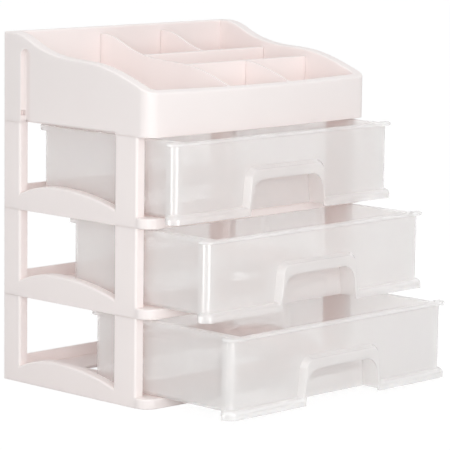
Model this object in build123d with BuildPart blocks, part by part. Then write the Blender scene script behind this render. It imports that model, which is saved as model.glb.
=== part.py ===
"""Makeup box: three drawer tiers stacked under a divided tray, in millimetres.

X runs to the right, Y to the rear and Z up. The origin is the middle of the underside.
The drawers stand part-way open, each by its own amount.
"""

import os

from build123d import *

# Whole box
width = 240.0
depth = 160.7
front_bow = 3.5
corner_radius = 10.5
tier_pitch = 67.5
skin = 2.2
edge_radius = 1.8
seam_gap = 0.4

# Side frames
side_thickness = 7.8
rear_flange = 6.4
lip_reach = 11.9
rear_post_width = 19.2
front_post_width = 23.7
rail_rear_height = 13.0
rail_peak_height = 21.4
rail_front_height = 11.6
rail_peak_share = 0.385
peg_length = 8.0
peg_thickness = 3.0
peg_height = 4.0
peg_gap = 0.2

# Shelves
shelf_height = 7.8
shelf_thickness = 2.2
lip_edge_radius = 1.0
rear_rail_height = 16.7
opening_side_inset = 50.0
opening_end_inset = 37.0
opening_corner_radius = 6.0
tongue_length = 24.0
tongue_reach = 4.0
tongue_thickness = 2.0
tongue_place_shares = (0.3, 0.65)

# Tray
tray_back_height = 68.7
tray_front_height = 31.5
tray_side_wall = 9.5
tray_end_wall = 6.3
tray_floor = 2.0
tray_inner_radius = 4.0
tray_side_relief = 2.0
rim_shares = ((0.055, 1.0), (0.219, 0.782), (0.438, 0.562), (0.609, 0.519), (0.804, 0.323), (1.0, 0.0))
rim_edge_radius = 1.3
groove_width = 10.6
groove_depth = 5.0
groove_round = 1.8
groove_height = 56.7
groove_rear_gap = 0.6
window_edge = 0.8
window_size = 4.0
window_height = 5.4
hook_thickness = 1.6
hook_gap = 0.4

# Tray partitions
divider_thickness = 2.0
divider_drop = 5.5
divider_long_place = 96.5
divider_short_place = 162.5
divider_cross_rear_place = 55.0
divider_cross_front_place = 101.5

# Drawers
wall = 1.8
slide_gap = 0.3
head_gap = 1.5
side_gap = 0.5
rear_gap = 0.8
rim_overhang = 4.2
rim_thickness = 3.6
tub_corner_radius = 8.0
tub_foot_radius = 4.0
front_step = 1.8
front_end_inset = 2.8
return_depth = 9.2
return_round = 4.0
front_corner_radius = 4.8
lip_overhang = 4.2
lip_wrap = 1.4
lip_return = 5.0
lip_corner_radius = 9.5
corner_limit_share = 0.95
lip_thickness = 2.4
lip_tip_radius = 0.8
skirt_low = 6.4
skirt_height = 7.0
skirt_round = 3.8
skirt_return = 4.7
open_bottom = 82.0
open_middle = 57.0
open_top = 23.0

# Finger pull in each drawer front, heights from the tier's foot
pull_width = 86.0
pull_top = 40.8
pull_radius = 8.0
pull_narrowing = 4.0
pull_depth = 12.0
mouth_width = 82.0
mouth_top = 33.2
mouth_radius = 13.0
hood_width = 94.0
hood_top = 43.0
hood_radius = 10.0
hood_edge_radius = 1.2

# Places worked out from the sizes above
half_width = width / 2
inner_half = half_width - side_thickness
rear = depth / 2
front = rear - depth
post_front = front + lip_reach
window_rear = rear - rear_post_width
window_front = post_front + front_post_width
tiers = (("bottom", open_bottom), ("middle", open_middle), ("top", open_top))
tray_base = tier_pitch * len(tiers)
tray_inner_half = half_width - tray_side_wall
tray_inner_rear = rear - tray_end_wall
tray_inner_front = front + tray_end_wall
peg_middle = skin + peg_gap + peg_thickness / 2
rear_post_middle = rear - rear_post_width / 2
front_post_middle = post_front + front_post_width / 2
closed_front = front - front_step
groove_rear = window_rear - groove_rear_gap
tub_half = inner_half - side_gap - rim_overhang
tub_rear = rear - skin - rear_gap - rim_overhang
tub_length = tub_rear - closed_front
front_half = half_width - front_end_inset
lip_half = half_width + lip_wrap

os.makedirs("parts", exist_ok=True)


def write(piece, label):
    """Name one finished piece and write it."""
    piece.part.label = label
    export_step(piece.part, f"parts/{label}.step")


def bowed_outline(half, back_edge, front_edge, radius):
    """Plan face with a straight back and a front that bows forward between rounded corners."""
    with BuildSketch(Plane.XY, mode=Mode.PRIVATE) as plan:
        with BuildLine():
            Polyline((-half, front_edge), (-half, back_edge), (half, back_edge), (half, front_edge))
            ThreePointArc((-half, front_edge), (0, front_edge - front_bow), (half, front_edge))
        make_face()
        fillet(plan.vertices().group_by(Axis.Y)[0], radius)
    return plan.sketch


def rim_profile(drop, base):
    """Side face of everything between a base height and the tray's rim curve lowered by a drop."""
    reach = depth + front_bow
    fall = tray_back_height - tray_front_height
    low = tray_base + tray_front_height - drop
    points = [(rear - y_share * reach, low + z_share * fall) for y_share, z_share in rim_shares]
    end_way = Vector(*points[-1]) - Vector(*points[-2])
    with BuildSketch(Plane.XY, mode=Mode.PRIVATE) as profile:
        with BuildLine():
            Spline(*points, tangents=[(-1, 0), end_way])
            Polyline(points[-1], (points[-1][0], base), (rear, base), (rear, points[0][1]), points[0])
        make_face()
    return profile.sketch


def make_side(label, base, right, hooked):
    """One side of a tier: two posts and an arched rail, an open channel on its inner face."""
    top = base + tier_pitch
    span = window_rear - window_front
    peak = (window_rear - span * rail_peak_share, base + rail_peak_height)
    rail_rear = (window_rear, base + rail_rear_height)
    rail_front = (window_front, base + rail_front_height)
    with BuildPart() as side:
        with BuildSketch(Plane.YZ.offset(-half_width)) as outline:
            with BuildLine():
                Polyline(rail_rear, (window_rear, top), (rear, top), (rear, base))
                Polyline((rear, base), (post_front, base), (post_front, top))
                Polyline((post_front, top), (window_front, top), rail_front)
                TangentArc(peak, rail_rear, tangent=(1, 0))
                TangentArc(peak, rail_front, tangent=(-1, 0))
            make_face()
        extrude(amount=side_thickness)
        outer_edges = side.faces().sort_by(Axis.X)[0].edges()
        foot_edges = outer_edges.filter_by_position(Axis.Z, base, base)
        head_edges = outer_edges.filter_by_position(Axis.Z, top, top)
        fillet([edge for edge in outer_edges if edge not in foot_edges + head_edges], edge_radius)
        # The foot of the front post is square, where the shelf's lip carries on from it
        with BuildSketch(Plane.XY.offset(base)):
            with Locations((-half_width, post_front)):
                Rectangle(side_thickness, side_thickness, align=(Align.MIN, Align.MIN))
        extrude(amount=shelf_height)
        with BuildSketch(Plane.YZ.offset(-half_width + skin)):
            add(outline.sketch_local)
            offset(amount=-skin, kind=Kind.INTERSECTION, mode=Mode.REPLACE)
        extrude(amount=side_thickness, mode=Mode.SUBTRACT)
        # The flange across the rear, standing on the shelf's rear rail
        with BuildSketch(Plane.XY.offset(base + rear_rail_height)):
            with Locations((-inner_half, rear)):
                Rectangle(rear_flange, skin, align=(Align.MIN, Align.MAX))
        extrude(amount=tier_pitch - rear_rail_height)
        # The seam over the tier below, along the outer face and the rear
        with BuildSketch(Plane.XY.offset(base)):
            with Locations((-half_width, rear)):
                Rectangle(side_thickness, rear - post_front, align=(Align.MIN, Align.MAX))
            with Locations((-half_width + seam_gap, rear - seam_gap)):
                Rectangle(side_thickness, rear - post_front, align=(Align.MIN, Align.MAX), mode=Mode.SUBTRACT)
        extrude(amount=seam_gap, mode=Mode.SUBTRACT)
        # Sockets under the posts and pegs on top of them
        for middle in (rear_post_middle, front_post_middle):
            with BuildSketch(Plane.XY.offset(base)):
                with Locations((-half_width + peg_middle, middle)):
                    Rectangle(peg_thickness + peg_gap * 2, peg_length + peg_gap * 2)
            extrude(amount=skin, mode=Mode.SUBTRACT)
            with BuildSketch(Plane.XY.offset(top)):
                with Locations((-half_width + peg_middle, middle)):
                    Rectangle(peg_thickness, peg_length)
            extrude(amount=peg_height)
        if hooked:
            with BuildSketch(Plane.YZ.offset(-half_width + skin + hook_gap)):
                add(hook_face(top))
            extrude(amount=hook_thickness)
        if right:
            mirror(side.part, about=Plane.YZ, mode=Mode.REPLACE)
    write(side, label)


def hook_face(top):
    """Side face of the snap hook: an arm that stands on the rear post, its nose in the tray's window."""
    arm_near = groove_rear + skin + hook_gap
    arm_far = arm_near + hook_thickness
    nose_near = groove_rear + skin / 2
    nose_low = top + window_height + hook_gap
    nose_high = top + window_height + window_size - hook_gap
    with BuildSketch(Plane.XY, mode=Mode.PRIVATE) as hook:
        with BuildLine():
            Polyline((arm_far, top), (arm_far, nose_high), (nose_near, nose_high), (nose_near, nose_low),
                     (arm_near, nose_low), (arm_near, top), close=True)
        make_face()
    return hook.sketch


def make_shelf(label, base):
    """One shelf: a plate with a skirt, a bowed front lip, a rear rail and side tongues."""
    with BuildPart() as shelf:
        with BuildSketch(Plane.XY.offset(base)) as plan:
            with BuildLine():
                Polyline((-half_width, front), (-half_width, post_front), (-inner_half, post_front))
                Polyline((-inner_half, post_front), (-inner_half, rear), (inner_half, rear))
                Polyline((inner_half, rear), (inner_half, post_front), (half_width, post_front))
                Line((half_width, post_front), (half_width, front))
                ThreePointArc((-half_width, front), (0, front - front_bow), (half_width, front))
            make_face()
            fillet(plan.vertices().group_by(Axis.Y)[0], corner_radius)
        extrude(amount=shelf_height)
        lip_edges = shelf.edges().filter_by(GeomType.CIRCLE)
        fillet(lip_edges, lip_edge_radius)
        with BuildSketch(Plane.XY.offset(base)):
            add(plan.sketch_local)
            offset(amount=-skin, kind=Kind.INTERSECTION, mode=Mode.REPLACE)
        extrude(amount=shelf_height - shelf_thickness, mode=Mode.SUBTRACT)
        opening_depth = rear - post_front - opening_end_inset * 2
        with BuildSketch(Plane.XY.offset(base)):
            with Locations((0, (rear + post_front) / 2)):
                RectangleRounded(width - opening_side_inset * 2, opening_depth, opening_corner_radius)
        extrude(amount=shelf_height, mode=Mode.SUBTRACT)
        with BuildSketch(Plane.XY.offset(base)):
            with Locations((0, rear)):
                Rectangle(inner_half * 2, skin, align=(Align.CENTER, Align.MAX))
        extrude(amount=rear_rail_height)
        tongue_places = [rear - (rear - post_front) * share for share in tongue_place_shares]
        with BuildSketch(Plane.XY.offset(base + skin)):
            with Locations(*[(end, place) for end in (-inner_half, inner_half) for place in tongue_places]):
                Rectangle(tongue_reach * 2, tongue_length)
        extrude(amount=tongue_thickness)
    write(shelf, label)


def groove_plugs(spare):
    """What fills the round-topped grooves in the tray's two sides, thicker all round by a spare."""
    plug_depth = groove_depth + spare
    with BuildPart() as plugs:
        with BuildSketch(Plane.YZ.offset(-half_width)):
            with Locations((groove_rear - groove_width / 2, tray_base)):
                SlotOverall((groove_height + spare) * 2, groove_width + spare * 2, rotation=90)
        extrude(amount=plug_depth)
        fillet(plugs.faces().sort_by(Axis.X)[-1].edges(), groove_round + spare)
        mirror(plugs.part, about=Plane.YZ)
    return plugs.part


def tray_hollow():
    """The space between the tray's two skins, open below and filled behind the grooves."""
    filled = groove_plugs(skin)
    with BuildPart() as hollow:
        with BuildSketch(Plane.XY.offset(tray_base)):
            add(bowed_outline(half_width - skin, rear - skin, front + skin, corner_radius - skin))
            add(bowed_outline(tray_inner_half + skin, tray_inner_rear + skin, tray_inner_front - skin,
                              tray_inner_radius + skin), mode=Mode.SUBTRACT)
        extrude(amount=tray_back_height)
        with BuildSketch(Plane.YZ.offset(-half_width)):
            add(rim_profile(skin, tray_base))
        extrude(amount=width, mode=Mode.INTERSECT)
        add(filled, mode=Mode.SUBTRACT)
    return hollow.part


def make_tray(label):
    """The top tray: double walls under a rim that falls from back to front in an S."""
    hollow = tray_hollow()
    grooves = groove_plugs(0)
    with BuildPart() as tray:
        with BuildSketch(Plane.XY.offset(tray_base)):
            add(bowed_outline(half_width, rear, front, corner_radius))
        extrude(amount=tray_back_height)
        fillet(tray.edges().filter_by(Axis.Z).group_by(Axis.Y)[-1], edge_radius)
        with BuildSketch(Plane.YZ.offset(-half_width)):
            add(rim_profile(0, tray_base))
        extrude(amount=width, mode=Mode.INTERSECT)
        with BuildSketch(Plane.XY.offset(tray_base + tray_floor)):
            add(bowed_outline(tray_inner_half, tray_inner_rear, tray_inner_front, tray_inner_radius))
        extrude(amount=tray_back_height, mode=Mode.SUBTRACT)
        # The flat part of the rim and the sloping part, softened along their outer and inner edges
        upward = tray.faces().filter_by(lambda face: face.normal_at().Z > 0)
        slope_rim, flat_rim = upward.sort_by(Axis.Z)[1:]
        meeting = flat_rim.edges().group_by(Axis.Y)[0]
        rim_edges = flat_rim.edges() + slope_rim.edges().sort_by(Axis.Y)[:-1]
        fillet([edge for edge in rim_edges if edge not in meeting], rim_edge_radius)
        add(hollow, mode=Mode.SUBTRACT)
        add(grooves, mode=Mode.SUBTRACT)
        # The seam over the top tier, all round
        with BuildSketch(Plane.XY.offset(tray_base)):
            add(bowed_outline(half_width, rear, front, corner_radius))
            add(bowed_outline(half_width - seam_gap, rear - seam_gap, front + seam_gap,
                              corner_radius - seam_gap), mode=Mode.SUBTRACT)
        extrude(amount=seam_gap, mode=Mode.SUBTRACT)
        # Windows for the hooks, low in the rear walls of the grooves
        window_middle = half_width - window_edge - window_size / 2
        with BuildSketch(Plane.XZ.offset(-groove_rear)):
            with Locations(*[(end, tray_base + window_height) for end in (-window_middle, window_middle)]):
                Rectangle(window_size, window_size, align=(Align.CENTER, Align.MIN))
        extrude(amount=skin, both=True, mode=Mode.SUBTRACT)
        # The skin's lower edge stands clear between the posts
        for outer, way in ((-half_width, 1), (half_width, -1)):
            with BuildSketch(Plane.YZ.offset(outer)):
                with Locations(((window_rear + window_front) / 2, tray_base)):
                    Rectangle(window_rear - window_front, tray_side_relief * 2)
            extrude(amount=(tray_side_wall - skin) * way, mode=Mode.SUBTRACT)
    write(tray, label)


def make_divider(label, x_low, x_high, y_low, y_high):
    """A tray partition: the part of the tray's inside, under the lowered rim curve, within a box."""
    floor = tray_base + tray_floor
    with BuildPart() as divider:
        with BuildSketch(Plane.XY.offset(floor)):
            add(bowed_outline(tray_inner_half, tray_inner_rear, tray_inner_front, tray_inner_radius))
            with Locations((x_low, y_low)):
                Rectangle(x_high - x_low, y_high - y_low, align=(Align.MIN, Align.MIN), mode=Mode.INTERSECT)
        extrude(amount=tray_back_height)
        with BuildSketch(Plane.YZ.offset(-half_width)):
            add(rim_profile(divider_drop, floor))
        extrude(amount=width, mode=Mode.INTERSECT)
    write(divider, label)


def pull_arch(arch_width, foot, head, radius):
    """Upright face, seen from the front, that narrows from its foot to a head with rounded corners."""
    half_foot = arch_width / 2
    half_head = half_foot - pull_narrowing
    with BuildSketch(Plane.XY, mode=Mode.PRIVATE) as arch:
        with BuildLine():
            Polyline((-half_foot, foot), (-half_head, head), (half_head, head), (half_foot, foot), close=True)
        make_face()
        fillet(arch.vertices().group_by(Axis.Y)[-1], radius)
    return arch.sketch


def rounded_front(half, front_edge, back_edge, radius):
    """Plan face of a box with its two front corners rounded, as far as its depth allows."""
    round_limit = (back_edge - front_edge) * corner_limit_share
    with BuildSketch(Plane.XY, mode=Mode.PRIVATE) as plan:
        with Locations((0, front_edge)):
            Rectangle(half * 2, back_edge - front_edge, align=(Align.CENTER, Align.MIN))
        fillet(plan.vertices().group_by(Axis.Y)[0], min(radius, round_limit))
    return plan.sketch


def drawer_lip(face, high):
    """The lip over a drawer's front: a plate wider than the front, its outer edges softened."""
    with BuildPart() as lip:
        with BuildSketch(Plane.XY.offset(high - lip_thickness)):
            add(rounded_front(lip_half, face - lip_overhang, face + lip_return, lip_corner_radius))
        extrude(amount=lip_thickness)
        for plate_face in (lip.faces().sort_by(Axis.Z)[0], lip.faces().sort_by(Axis.Z)[-1]):
            fillet(plate_face.edges().sort_by(Axis.Y)[:-1], lip_tip_radius)
    return lip.part


def drawer_skirt(face, foot):
    """The skirt round the foot of a drawer's front, rounded above and hollow below."""
    inner_front = face - lip_overhang + wall
    with BuildPart() as skirt:
        with BuildSketch(Plane.XY.offset(foot)):
            add(rounded_front(lip_half, face - lip_overhang, face + skirt_return, lip_corner_radius))
        extrude(amount=skirt_height)
        fillet(skirt.faces().sort_by(Axis.Z)[-1].edges().sort_by(Axis.Y)[:-1], skirt_round)
        with BuildSketch(Plane.XY.offset(foot)):
            add(rounded_front(lip_half - wall, inner_front, face + skirt_return, lip_corner_radius - wall))
        extrude(amount=skirt_height - skirt_round, mode=Mode.SUBTRACT)
        with BuildSketch(Plane.XY.offset(foot)):
            with Locations((0, face + wall)):
                Rectangle((front_half - wall) * 2, skirt_return, align=(Align.CENTER, Align.MIN))
        extrude(amount=skirt_height, mode=Mode.SUBTRACT)
    return skirt.part


def front_shell(face, low, high):
    """A drawer's wide front with its two returns, the upper rear corners of the returns rounded."""
    back = face + return_depth
    with BuildPart() as shell:
        with BuildSketch(Plane.XY.offset(low)):
            add(rounded_front(front_half, face, back, front_corner_radius))
            add(rounded_front(front_half - wall, face + wall, back, front_corner_radius - wall),
                mode=Mode.SUBTRACT)
        extrude(amount=high - low)
        fillet(shell.edges().filter_by(Axis.X).group_by(Axis.Y)[-1].group_by(Axis.Z)[-1], return_round)
    return shell.part


def pull_hood(face, low, base):
    """The hood round a finger pull: an arch with sloping sides that stands out as far as the lip."""
    with BuildPart() as hood:
        with BuildSketch(Plane.XZ.offset(-face)):
            add(pull_arch(hood_width, low, base + hood_top, hood_radius))
        with BuildSketch(Plane.XZ.offset(lip_overhang - face)):
            add(pull_arch(pull_width, low, base + pull_top, pull_radius))
        loft()
        fillet(hood.faces().sort_by(Axis.Y)[0].edges().sort_by(Axis.Z)[1:], hood_edge_radius)
    return hood.part


def make_drawer(label, base, opened):
    """One drawer: a rimmed tub behind a wide front with a lip, a skirt and an arched finger pull."""
    face = closed_front - opened
    foot = base + skirt_low
    low = base + shelf_height + slide_gap
    high = base + tier_pitch - head_gap
    head = base + pull_top
    mouth_rear = face - lip_overhang + wall
    shell = front_shell(face, low, high)
    lip = drawer_lip(face, high)
    skirt = drawer_skirt(face, foot)
    hood = pull_hood(face, low, base)
    with BuildPart() as drawer:
        # Tub with a rounded foot, and the rim round it
        with BuildSketch(Plane.XY.offset(low)) as tub:
            with Locations((0, face)):
                Rectangle(tub_half * 2, tub_length, align=(Align.CENTER, Align.MIN))
            fillet(tub.vertices().group_by(Axis.Y)[-1], tub_corner_radius)
        extrude(amount=high - low)
        fillet(drawer.faces().sort_by(Axis.Z)[0].edges().sort_by(Axis.Y)[1:], tub_foot_radius)
        with BuildSketch(Plane.XY.offset(high - rim_thickness)) as rim:
            with Locations((0, face)):
                Rectangle((tub_half + rim_overhang) * 2, tub_length + rim_overhang,
                          align=(Align.CENTER, Align.MIN))
            fillet(rim.vertices().group_by(Axis.Y)[-1], tub_corner_radius + rim_overhang)
        extrude(amount=rim_thickness)
        # Wide front with its two returns, the lip above and the skirt below
        add(shell)
        add(lip)
        add(skirt)
        # Inside of the tub
        with BuildSketch(Plane.XY.offset(low + wall)) as inside:
            with Locations((0, face + wall)):
                Rectangle((tub_half - wall) * 2, tub_length - wall * 2, align=(Align.CENTER, Align.MIN))
            fillet(inside.vertices().group_by(Axis.Y)[-1], tub_corner_radius - wall)
        extrude(amount=high - low, mode=Mode.SUBTRACT)
        floor = drawer.faces().filter_by_position(Axis.Z, low + wall, low + wall).sort_by(SortBy.AREA)[-1]
        fillet(floor.edges(), tub_foot_radius - wall)
        # Finger pull: a pocket behind the front, the hood, and a mouth cut through its face
        with BuildSketch(Plane.XZ.offset(-face)):
            add(pull_arch(pull_width, low, head, pull_radius))
        extrude(amount=-(pull_depth + wall))
        add(hood)
        with BuildSketch(Plane.XZ.offset(-mouth_rear)):
            add(pull_arch(pull_width - wall * 2, foot, head - wall, pull_radius - wall))
        extrude(amount=-(face + pull_depth - mouth_rear), mode=Mode.SUBTRACT)
        with BuildSketch(Plane.XZ.offset(-mouth_rear)):
            add(pull_arch(mouth_width, foot, base + mouth_top, mouth_radius))
        extrude(amount=lip_overhang, mode=Mode.SUBTRACT)
    write(drawer, label)


for level, (tier, opened) in enumerate(tiers):
    tier_base = tier_pitch * level
    is_top = tier == "top"
    make_shelf(f"shelf_{tier}", tier_base)
    make_side(f"side_left_{tier}", tier_base, right=False, hooked=is_top)
    make_side(f"side_right_{tier}", tier_base, right=True, hooked=is_top)
    make_drawer(f"drawer_{tier}", tier_base, opened)

make_tray("tray")

# Partitions, placed from the tray's left side and its rear
half_divider = divider_thickness / 2
long_x = divider_long_place - half_width
short_x = divider_short_place - half_width
cross_rear_y = rear - divider_cross_rear_place
cross_front_y = rear - divider_cross_front_place
far_front = front - front_bow
make_divider("divider_long", long_x - half_divider, long_x + half_divider, far_front, rear)
make_divider("divider_cross_rear", long_x + half_divider, half_width,
             cross_rear_y - half_divider, cross_rear_y + half_divider)
make_divider("divider_cross_front", long_x + half_divider, half_width,
             cross_front_y - half_divider, cross_front_y + half_divider)
make_divider("divider_rear", short_x - half_divider, short_x + half_divider,
             cross_rear_y + half_divider, rear)
make_divider("divider_front", short_x - half_divider, short_x + half_divider,
             far_front, cross_front_y - half_divider)
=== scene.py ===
"""Looks of a three-drawer makeup box with a divided tray: pink frame, frosted drawers, white studio."""

import math

import bpy
import numpy as np
from mathutils import Matrix, Vector


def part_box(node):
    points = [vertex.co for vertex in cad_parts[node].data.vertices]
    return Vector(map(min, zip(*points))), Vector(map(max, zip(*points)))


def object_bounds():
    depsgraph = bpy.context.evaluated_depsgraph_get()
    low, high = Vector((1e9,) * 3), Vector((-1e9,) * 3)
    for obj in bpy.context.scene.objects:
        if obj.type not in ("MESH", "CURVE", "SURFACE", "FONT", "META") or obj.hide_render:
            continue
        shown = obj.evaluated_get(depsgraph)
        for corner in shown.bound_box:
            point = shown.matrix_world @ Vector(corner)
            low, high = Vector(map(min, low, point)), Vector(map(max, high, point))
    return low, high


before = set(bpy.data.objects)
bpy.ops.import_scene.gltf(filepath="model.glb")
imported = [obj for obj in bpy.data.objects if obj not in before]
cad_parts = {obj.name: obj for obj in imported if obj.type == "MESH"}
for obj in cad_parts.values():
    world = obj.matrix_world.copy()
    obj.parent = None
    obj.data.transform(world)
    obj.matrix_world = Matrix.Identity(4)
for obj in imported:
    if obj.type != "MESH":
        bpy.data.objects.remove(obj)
cad_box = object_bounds()

scene = bpy.context.scene
MM = 0.001
DRAWERS = [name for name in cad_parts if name.startswith("drawer_")]
MOULDINGS = [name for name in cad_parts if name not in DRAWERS]
RIGHT_SIDES = [name for name in MOULDINGS if name.startswith("side_right")]

# Both plastics are polypropylene: how it bends light, how deep it scatters it, and the relief of its mould
PLASTIC_IOR = 1.49
SCATTER_DEPTH = 4 * MM
EVEN_SCATTER = (1.0, 1.0, 1.0)
RELIEF_DEPTH = 0.1 * MM

# Numbers of a colour mix's sockets, because the other kinds of mix have sockets of the same names
MIX_FIRST, MIX_SECOND, MIX_RESULT = 6, 7, 2

# Width and height of the strip lamps, in metres
STRIP_SIZE = (0.05, 0.25)


def linear(hex_colour):
    """Linear colour of an sRGB hex value: a straight toe below 0.04045, a 2.4 power above it."""
    srgb = np.array([int(hex_colour[i:i + 2], 16) for i in (1, 3, 5)]) / 255
    flat = np.where(srgb <= 0.04045, srgb / 12.92, ((srgb + 0.055) / 1.055) ** 2.4)
    return (*flat.tolist(), 1.0)


def add_node(tree, kind, settings=None, links=None):
    """Adds one node, sets its fields and sockets, and links its inputs. Sockets go by name or number."""
    node = tree.nodes.new(kind)
    for name, value in (settings or {}).items():
        if isinstance(name, int) or name in node.inputs:
            node.inputs[name].default_value = value
        else:
            setattr(node, name, value)
    for name, source in (links or {}).items():
        tree.links.new(source, node.inputs[name])
    return node


def new_material(name):
    """An empty node material and its tree."""
    material = bpy.data.materials.new(name)
    material.use_nodes = True
    material.node_tree.nodes.clear()
    return material, material.node_tree


def pattern_scale(size_mm):
    """Noise scale that gives features of about that size on object coordinates in metres."""
    return 1 / (size_mm * MM)


def moulded_finish(tree, flow_mm, tints, grain_mm, roughness, strength):
    """Colour, roughness and normal of a moulded face.

    The colour drifts between two tints as the melt flowed. One fine noise gives the roughness, between
    its least and its most, and the relief of that strength.
    """
    place = add_node(tree, "ShaderNodeTexCoord").outputs["Object"]
    flow = add_node(tree, "ShaderNodeTexNoise",
                    {"Scale": pattern_scale(flow_mm), "Detail": 2.0}, {"Vector": place})
    tint = add_node(tree, "ShaderNodeMix",
                    {"data_type": "RGBA", MIX_FIRST: linear(tints[0]), MIX_SECOND: linear(tints[1])},
                    {"Factor": flow.outputs["Fac"]})
    grain = add_node(tree, "ShaderNodeTexNoise",
                     {"Scale": pattern_scale(grain_mm), "Detail": 3.0}, {"Vector": place})
    gloss = add_node(tree, "ShaderNodeMapRange",
                     {"To Min": roughness[0], "To Max": roughness[1]}, {"Value": grain.outputs["Fac"]})
    relief = add_node(tree, "ShaderNodeBump",
                      {"Strength": strength, "Distance": RELIEF_DEPTH}, {"Height": grain.outputs["Fac"]})
    return tint.outputs[MIX_RESULT], gloss.outputs["Result"], relief.outputs["Normal"]


def moulded_pink():
    """Polypropylene, injection moulded in an etched mould: pale pink with a soft satin gloss.

    The eye sees a faint cloudiness from the melt's flow, a fine even grain and soft highlights on edges.
    Some light passes through the thin walls, so that the inside of the box stays bright.
    """
    material, tree = new_material("moulded_polypropylene_pale_pink")
    # The mould's etching is about 0.1 mm; drawn at 1.2 mm so that it shows at all
    colour, gloss, relief = moulded_finish(tree, flow_mm=55, tints=("#FBF2F0", "#F7EEEC"), grain_mm=1.2,
                                           roughness=(0.46, 0.56), strength=0.02)
    shader = add_node(tree, "ShaderNodeBsdfPrincipled",
                      {"IOR": PLASTIC_IOR, "Subsurface Weight": 0.4,
                       "Subsurface Radius": EVEN_SCATTER, "Subsurface Scale": SCATTER_DEPTH},
                      {"Base Color": colour, "Roughness": gloss, "Normal": relief})
    add_node(tree, "ShaderNodeOutputMaterial", links={"Surface": shader.outputs["BSDF"]})
    return material


def frosted_clear():
    """Polypropylene, moulded thin without pigment: milky and see-through, glossy along its edges.

    The eye sees what is behind it as soft strips, a haze that varies slowly, and bright lines on corners.
    The light that isn't passed straight on is scattered inside the wall and comes out on both sides.
    The walls are polished, and the level faces, floor and rim, come from a sanded part of the mould: their
    roughness rises with how far the face's normal points up or down.
    """
    material, tree = new_material("moulded_polypropylene_frosted")
    # The frosting is finer than 0.1 mm; drawn at 1 mm so that it shows at all
    colour, gloss, relief = moulded_finish(tree, flow_mm=40, tints=("#F9F6F5", "#F6F3F2"), grain_mm=1.0,
                                           roughness=(0.20, 0.28), strength=0.01)
    facing = add_node(tree, "ShaderNodeNewGeometry").outputs["True Normal"]
    rise = add_node(tree, "ShaderNodeSeparateXYZ", links={"Vector": facing}).outputs["Z"]
    level = add_node(tree, "ShaderNodeMath", {"operation": "ABSOLUTE"}, {0: rise})
    sanded = add_node(tree, "ShaderNodeMapRange",
                      {"From Min": 0.85, "From Max": 0.97, "To Min": 0.0, "To Max": 0.45},
                      {"Value": level.outputs[0]})
    rough = add_node(tree, "ShaderNodeMath", {"operation": "ADD"}, {0: gloss, 1: sanded.outputs["Result"]})
    shader = add_node(tree, "ShaderNodeBsdfPrincipled",
                      {"IOR": PLASTIC_IOR, "Alpha": 0.44, "Subsurface Weight": 1.0,
                       "Subsurface Radius": EVEN_SCATTER, "Subsurface Scale": SCATTER_DEPTH},
                      {"Base Color": colour, "Roughness": rough.outputs[0], "Normal": relief})
    add_node(tree, "ShaderNodeOutputMaterial", links={"Surface": shader.outputs["BSDF"]})
    return material


def dress(names, material):
    """Gives CAD nodes one material."""
    for name in names:
        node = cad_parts[name]
        node.data.materials.clear()
        node.data.materials.append(material)


def smooth_rounds(names):
    """Shades rounded corners smooth and keeps flat faces flat, without moving a vertex."""
    same_point = 0.001 * MM
    sharp_from = math.radians(35)
    for name in names:
        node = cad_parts[name]
        node.data.shade_smooth()
        weld = node.modifiers.new("weld", "WELD")
        weld.merge_threshold = same_point
        edges = node.modifiers.new("sharp_edges", "EDGE_SPLIT")
        edges.split_angle = sharp_from
        flats = node.modifiers.new("flat_faces", "WEIGHTED_NORMAL")
        flats.mode = "FACE_AREA"
        flats.keep_sharp = True


def shown_rays(tree):
    """1 for rays from the camera, off gloss or through glass, 0 for others: the greatest of three flags."""
    path = add_node(tree, "ShaderNodeLightPath")
    seen = add_node(tree, "ShaderNodeMath", {"operation": "MAXIMUM"},
                    {0: path.outputs["Is Camera Ray"], 1: path.outputs["Is Glossy Ray"]})
    shown = add_node(tree, "ShaderNodeMath", {"operation": "MAXIMUM"},
                     {0: seen.outputs[0], 1: path.outputs["Is Transmission Ray"]})
    return shown.outputs[0]


def white_floor():
    """A level square floor: to the camera mostly a white glow, and some paper that takes the shadow."""
    reach = 6.0
    glow_share = 0.85
    corners = np.array([(-1, -1, 0), (1, -1, 0), (1, 1, 0), (-1, 1, 0)], float) * reach
    mesh = bpy.data.meshes.new("floor")
    mesh.from_pydata(corners.tolist(), [], [(0, 1, 2, 3)])
    floor = bpy.data.objects.new("floor", mesh)
    scene.collection.objects.link(floor)
    material, tree = new_material("white_studio_floor")
    paper = add_node(tree, "ShaderNodeBsdfDiffuse", {"Color": linear("#DADADA")})
    glow = add_node(tree, "ShaderNodeEmission", {"Strength": 1.10})
    white = add_node(tree, "ShaderNodeMixShader",
                     {"Fac": glow_share}, {1: paper.outputs[0], 2: glow.outputs[0]})
    surface = add_node(tree, "ShaderNodeMixShader",
                       links={"Fac": shown_rays(tree), 1: paper.outputs[0], 2: white.outputs[0]})
    add_node(tree, "ShaderNodeOutputMaterial", links={"Surface": surface.outputs[0]})
    mesh.materials.append(material)


def white_room(fill):
    """The world: plain white to the camera and in reflections, a soft fill elsewhere."""
    world = bpy.data.worlds.new("white_room")
    scene.world = world
    world.use_nodes = True
    tree = world.node_tree
    tree.nodes.clear()
    level = add_node(tree, "ShaderNodeMapRange",
                     {"To Min": fill, "To Max": 1.0}, {"Value": shown_rays(tree)})
    light = add_node(tree, "ShaderNodeBackground",
                     {"Color": linear("#FFFFFF")}, {"Strength": level.outputs["Result"]})
    add_node(tree, "ShaderNodeOutputWorld", links={"Surface": light.outputs["Background"]})


def middle_of(box):
    """The point halfway between a box's lowest and highest corners."""
    low, high = box
    return (low + high) / 2


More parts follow.
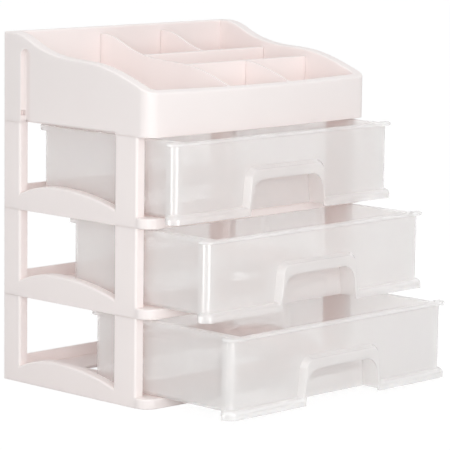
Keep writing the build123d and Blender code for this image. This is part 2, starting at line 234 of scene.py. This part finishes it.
def soft_box(name, place, aim, size, watts, lit=()):
    """A rectangular studio lamp, turned to face a point. It lights everything, or only the nodes in lit."""
    lamp = bpy.data.lights.new(name, "AREA")
    lamp.shape = "RECTANGLE"
    lamp.size, lamp.size_y = size
    lamp.energy = watts
    holder = bpy.data.objects.new(name, lamp)
    holder.location = place
    holder.rotation_euler = (aim - Vector(place)).to_track_quat("-Z", "Y").to_euler()
    scene.collection.objects.link(holder)
    if lit:
        group = bpy.data.collections.new(name + "_lights")
        for node in lit:
            group.objects.link(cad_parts[node])
        holder.light_linking.receiver_collection = group
    return holder


def edge_strip(name, place, watts):
    """A narrow upright lamp that shows only as a bright line along the drawers' rounded corners."""
    low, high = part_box("drawer_middle")
    front_left_corner = Vector((low[0], low[1], high[2]))
    strip = soft_box(name, place, front_left_corner, STRIP_SIZE, watts, DRAWERS)
    strip.visible_diffuse = False


def photo_camera():
    """The camera: a long lens from the front left, looking slightly down, turned a little on its axis.

    It looks along +Y, turned to the right by yaw, then down by pitch, then about its line of sight by roll.
    """
    place = Vector((-1.44102, -1.44842, 0.42070))
    yaw = math.radians(45.704)
    pitch = math.radians(8.4025)
    roll = math.radians(0.7602)
    across = Vector((math.cos(yaw), -math.sin(yaw), 0))
    level = Vector((math.sin(yaw), math.cos(yaw), 0))
    rise = Vector((0, 0, 1))
    ahead = level * math.cos(pitch) - rise * math.sin(pitch)
    upright = rise * math.cos(pitch) + level * math.sin(pitch)
    right = across * math.cos(roll) + upright * math.sin(roll)
    up = upright * math.cos(roll) - across * math.sin(roll)
    lens = bpy.data.cameras.new("photo_camera")
    lens.sensor_width = 36.0
    lens.lens = 210.15
    camera = bpy.data.objects.new("photo_camera", lens)
    camera.matrix_world = Matrix((right, up, -ahead)).transposed().to_4x4()
    camera.location = place
    scene.collection.objects.link(camera)
    scene.camera = camera


dress(MOULDINGS, moulded_pink())
dress(DRAWERS, frosted_clear())
smooth_rounds(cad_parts)

white_floor()
white_room(fill=0.68)
box_middle = middle_of(cad_box)
soft_box("front_soft_box", place=(-0.55, -1.15, 0.45), aim=box_middle, size=(0.7, 0.7), watts=2.5)
soft_box("camera_soft_box", place=(-0.95, -1.05, 0.40), aim=box_middle, size=(0.5, 0.5), watts=5.0)
soft_box("top_soft_box", place=(0.0, -0.1, 1.9), aim=box_middle, size=(1.4, 1.4), watts=3.5)
edge_strip("left_strip", place=(-0.468, -0.060, 0.125), watts=2.5)
edge_strip("front_strip", place=(-0.134, -0.499, 0.125), watts=2.5)
# These two reach in through the open left side and between the drawers, as the light of a white room does
right_middle = middle_of(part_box("side_right_middle"))
soft_box("inside_soft_box", place=(-0.75, 0.30, 0.13), aim=right_middle, size=(0.5, 0.5), watts=4.0,
         lit=RIGHT_SIDES)
soft_box("inside_front_soft_box", place=(-1.00, -1.00, 0.33), aim=right_middle, size=(0.4, 0.4), watts=5.0,
         lit=RIGHT_SIDES)
photo_camera()

scene.view_settings.view_transform = "Standard"
# Up to a dozen thin see-through walls stand behind one another, and light bounces long between pale walls
scene.cycles.transparent_max_bounces = 64
scene.cycles.max_bounces = 48
scene.cycles.diffuse_bounces = 32
